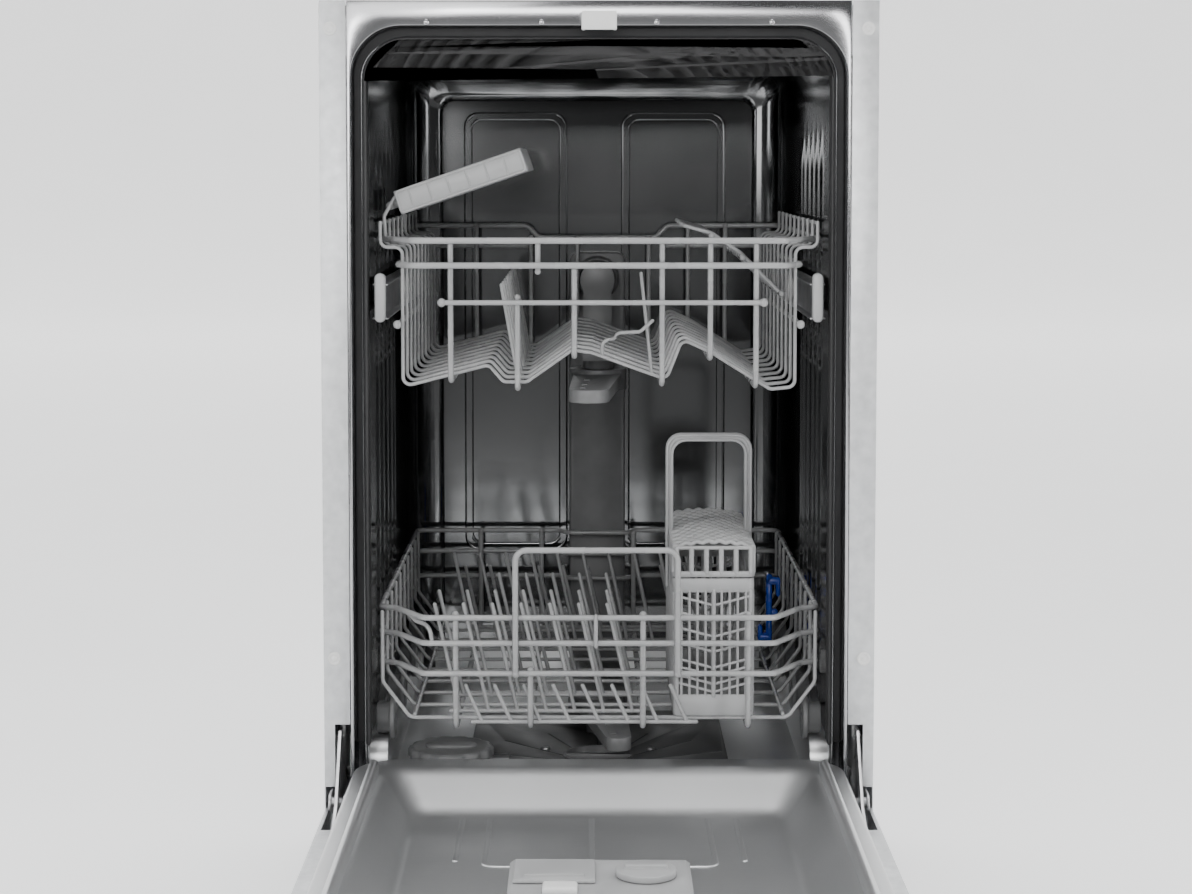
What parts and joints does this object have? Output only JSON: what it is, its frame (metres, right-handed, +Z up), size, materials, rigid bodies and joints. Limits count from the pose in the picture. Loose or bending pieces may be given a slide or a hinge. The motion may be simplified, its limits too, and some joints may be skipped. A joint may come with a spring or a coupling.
{
  "type": "dishwasher",
  "caption": "Slim fully integrated built-in dishwasher standing with its door folded open, with sliding upper and lower wire racks, spray arms and a cutlery basket.",
  "frame": {"origin": "on the floor, under the middle of the machine with its door open", "axes": "+X to the right seen from the front, +Y from the door to the back, +Z up"},
  "size_m": [0.448, 1.1584, 0.815],
  "materials": {
    "galvanised_sheet": "galvanised, dull satin",
    "collar_steel": "brushed stainless",
    "tub_steel": "bright stainless, near mirror",
    "door_steel": "satin stainless",
    "hinge_steel": "zinc plated steel",
    "gasket_rubber": "soft dark grey",
    "rack_coating": "satin nylon coating on steel wire",
    "light_plastic": "moulded, satin",
    "white_plastic": "moulded, satin",
    "grey_plastic": "moulded, satin",
    "dark_plastic": "moulded, fine grain",
    "blue_plastic": "moulded, glossy",
    "panel_black": "glossy",
    "pump_casing": "moulded",
    "clear_plastic": "translucent"
  },
  "bodies": {
    "cabinet": {"side_panel_right": "galvanised_sheet", "side_panel_left": "galvanised_sheet", "flange_caps": "light_plastic", "tub_collar": "collar_steel", "door_gasket": "gasket_rubber", "latch_striker": "white_plastic", "tub_wrap": "tub_steel", "tub_back": "tub_steel", "tub_floor": "tub_steel", "sump": "dark_plastic", "filter_plate": "dark_plastic", "softener": "grey_plastic", "feed_duct": "grey_plastic", "hinge_brackets": "hinge_steel", "door_springs": "hinge_steel", "base_tray": "dark_plastic", "kick_plate": "galvanised_sheet", "wash_pump": "pump_casing", "drain_pump": "pump_casing", "inlet_valve": "white_plastic", "terminal_box": "dark_plastic", "air_break": "clear_plastic"},
    "foot_front_left": {"foot_front_left": "dark_plastic"},
    "foot_front_right": {"foot_front_right": "dark_plastic"},
    "foot_rear": {"foot_rear": "dark_plastic"},
    "filter_cup": {"filter_cup": "dark_plastic"},
    "salt_cap": {"salt_cap": "grey_plastic"},
    "lower_arm": {"lower_arm": "grey_plastic"},
    "upper_arm": {"upper_arm": "grey_plastic"},
    "upper_rails": {"upper_rails": "collar_steel", "rail_caps": "light_plastic"},
    "wall_rollers_front": {"wall_rollers_front": "white_plastic"},
    "wall_rollers_rear": {"wall_rollers_rear": "white_plastic"},
    "rack_rollers_front": {"rack_rollers_front": "white_plastic"},
    "rack_rollers_rear": {"rack_rollers_rear": "white_plastic"},
    "upper_rack": {"upper_basket": "rack_coating", "upper_feed_pipe": "grey_plastic"},
    "cup_shelf": {"cup_shelf": "light_plastic"},
    "wire_shelf": {"wire_shelf": "rack_coating"},
    "lower_rack": {"lower_basket": "rack_coating"},
    "lower_wheels_1": {"lower_wheels_1": "light_plastic"},
    "lower_wheels_2": {"lower_wheels_2": "light_plastic"},
    "lower_wheels_3": {"lower_wheels_3": "light_plastic"},
    "lower_wheels_4": {"lower_wheels_4": "light_plastic"},
    "fold_row": {"fold_tines": "rack_coating", "fold_clip": "blue_plastic"},
    "cutlery": {"cutlery_basket": "light_plastic", "cutlery_lid": "light_plastic"},
    "door": {"door_liner": "door_steel", "door_skin": "galvanised_sheet", "control_panel": "panel_black", "door_lock": "white_plastic", "hinge_arms": "hinge_steel", "dispenser": "light_plastic"},
    "detergent_lid": {"detergent_lid": "light_plastic"},
    "latch_tab": {"latch_tab": "white_plastic"},
    "rinse_cap": {"rinse_cap": "light_plastic"},
    "button_power": {"button_power": "white_plastic"},
    "button_program": {"button_program": "white_plastic"},
    "button_start": {"button_start": "white_plastic"}
  },
  "joints": [
    {"name": "door_hinge", "type": "hinge", "parent": "cabinet", "child": "door", "pos_m": [0, 0.06425, 0.169], "axis": [1, 0, 0], "range_deg": [-90, 0], "deforming": ["door_springs"]},
    {"name": "foot_front_left_turn", "type": "hinge", "parent": "cabinet", "child": "foot_front_left", "pos_m": [-0.19, 0.16325, 0.02], "axis": [0, 0, 1], "continuous": true},
    {"name": "foot_front_right_turn", "type": "hinge", "parent": "cabinet", "child": "foot_front_right", "pos_m": [0.19, 0.16325, 0.02], "axis": [0, 0, 1], "continuous": true},
    {"name": "foot_rear_turn", "type": "hinge", "parent": "cabinet", "child": "foot_rear", "pos_m": [0, 0.53125, 0.02], "axis": [0, 0, 1], "continuous": true},
    {"name": "filter_cup_turn", "type": "hinge", "parent": "cabinet", "child": "filter_cup", "pos_m": [0, 0.19125, 0.165], "axis": [0, 0, 1], "range_deg": [0, 45]},
    {"name": "salt_cap_turn", "type": "hinge", "parent": "cabinet", "child": "salt_cap", "pos_m": [-0.12685, 0.18625, 0.176], "axis": [0, 0, 1], "range_deg": [0, 360]},
    {"name": "lower_arm_spin", "type": "hinge", "parent": "cabinet", "child": "lower_arm", "pos_m": [0, 0.31425, 0.19], "axis": [0, 0, 1], "continuous": true},
    {"name": "upper_rack_slide", "type": "slide", "parent": "cabinet", "child": "upper_rack", "axis": [0, -1, 0], "range_m": [0, 0.42]},
    {"name": "upper_rails_slide", "type": "slide", "parent": "cabinet", "child": "upper_rails", "axis": [0, -1, 0], "range_m": [0, 0.21]},
    {"name": "wall_rollers_front_roll", "type": "hinge", "parent": "cabinet", "child": "wall_rollers_front", "pos_m": [0, 0.18925, 0.5725], "axis": [1, 0, 0], "range_deg": [0, 930]},
    {"name": "wall_rollers_rear_roll", "type": "hinge", "parent": "cabinet", "child": "wall_rollers_rear", "pos_m": [0, 0.31925, 0.5725], "axis": [1, 0, 0], "range_deg": [0, 930]},
    {"name": "rack_rollers_front_roll", "type": "hinge", "parent": "upper_rack", "child": "rack_rollers_front", "pos_m": [0, 0.34125, 0.5725], "axis": [1, 0, 0], "range_deg": [0, 930]},
    {"name": "rack_rollers_rear_roll", "type": "hinge", "parent": "upper_rack", "child": "rack_rollers_rear", "pos_m": [0, 0.51925, 0.5725], "axis": [1, 0, 0], "range_deg": [0, 930]},
    {"name": "upper_arm_spin", "type": "hinge", "parent": "upper_rack", "child": "upper_arm", "pos_m": [0, 0.31425, 0.485], "axis": [0, 0, 1], "continuous": true},
    {"name": "cup_shelf_fold", "type": "hinge", "parent": "upper_rack", "child": "cup_shelf", "pos_m": [-0.173, 0.22925, 0.65], "axis": [0, -1, 0], "range_deg": [0, 45]},
    {"name": "wire_shelf_fold", "type": "hinge", "parent": "upper_rack", "child": "wire_shelf", "pos_m": [0.152, 0.22925, 0.577], "axis": [0, 1, 0], "range_deg": [0, 50]},
    {"name": "lower_rack_slide", "type": "slide", "parent": "cabinet", "child": "lower_rack", "axis": [0, -1, 0], "range_m": [0, 0.43]},
    {"name": "lower_wheels_1_roll", "type": "hinge", "parent": "lower_rack", "child": "lower_wheels_1", "pos_m": [0, 0.14125, 0.2205], "axis": [1, 0, 0], "range_deg": [0, 1860]},
    {"name": "lower_wheels_2_roll", "type": "hinge", "parent": "lower_rack", "child": "lower_wheels_2", "pos_m": [0, 0.25125, 0.2205], "axis": [1, 0, 0], "range_deg": [0, 1860]},
    {"name": "lower_wheels_3_roll", "type": "hinge", "parent": "lower_rack", "child": "lower_wheels_3", "pos_m": [0, 0.38125, 0.2205], "axis": [1, 0, 0], "range_deg": [0, 1860]},
    {"name": "lower_wheels_4_roll", "type": "hinge", "parent": "lower_rack", "child": "lower_wheels_4", "pos_m": [0, 0.49125, 0.2205], "axis": [1, 0, 0], "range_deg": [0, 1860]},
    {"name": "fold_row_fold", "type": "hinge", "parent": "lower_rack", "child": "fold_row", "pos_m": [0, 0.36725, 0.237], "axis": [-1, 0, 0], "range_deg": [0, 60]},
    {"name": "cutlery_lift", "type": "slide", "parent": "lower_rack", "child": "cutlery", "axis": [0, 0, 1], "range_m": [0, 0.025]},
    {"name": "detergent_lid_slide", "type": "slide", "parent": "door", "child": "detergent_lid", "axis": [0, 1, 0], "range_m": [0, 0.036]},
    {"name": "latch_tab_press", "type": "slide", "parent": "door", "child": "latch_tab", "axis": [0, 0, -1], "range_m": [0, 0.0025], "stiffness_N_per_m": 300},
    {"name": "rinse_cap_turn", "type": "hinge", "parent": "door", "child": "rinse_cap", "pos_m": [0.033, -0.15275, 0.175], "axis": [0, 0, 1], "range_deg": [0, 90]},
    {"name": "button_power_press", "type": "slide", "parent": "door", "child": "button_power", "axis": [0, 1, 0], "range_m": [0, 0.001], "stiffness_N_per_m": 400},
    {"name": "button_program_press", "type": "slide", "parent": "door", "child": "button_program", "axis": [0, 1, 0], "range_m": [0, 0.001], "stiffness_N_per_m": 400},
    {"name": "button_start_press", "type": "slide", "parent": "door", "child": "button_start", "axis": [0, 1, 0], "range_m": [0, 0.001], "stiffness_N_per_m": 400}
  ],
  "couplings": [
    {"joint": "upper_rails_slide", "follows": "upper_rack_slide", "ratio": 0.5},
    {"joint": "wall_rollers_front_roll", "follows": "upper_rack_slide", "rad_per_m": 38.462},
    {"joint": "wall_rollers_rear_roll", "follows": "upper_rack_slide", "rad_per_m": 38.462},
    {"joint": "rack_rollers_front_roll", "follows": "upper_rack_slide", "rad_per_m": 38.462},
    {"joint": "rack_rollers_rear_roll", "follows": "upper_rack_slide", "rad_per_m": 38.462},
    {"joint": "lower_wheels_1_roll", "follows": "lower_rack_slide", "rad_per_m": 75.188},
    {"joint": "lower_wheels_2_roll", "follows": "lower_rack_slide", "rad_per_m": 75.188},
    {"joint": "lower_wheels_3_roll", "follows": "lower_rack_slide", "rad_per_m": 75.188},
    {"joint": "lower_wheels_4_roll", "follows": "lower_rack_slide", "rad_per_m": 75.188}
  ]
}
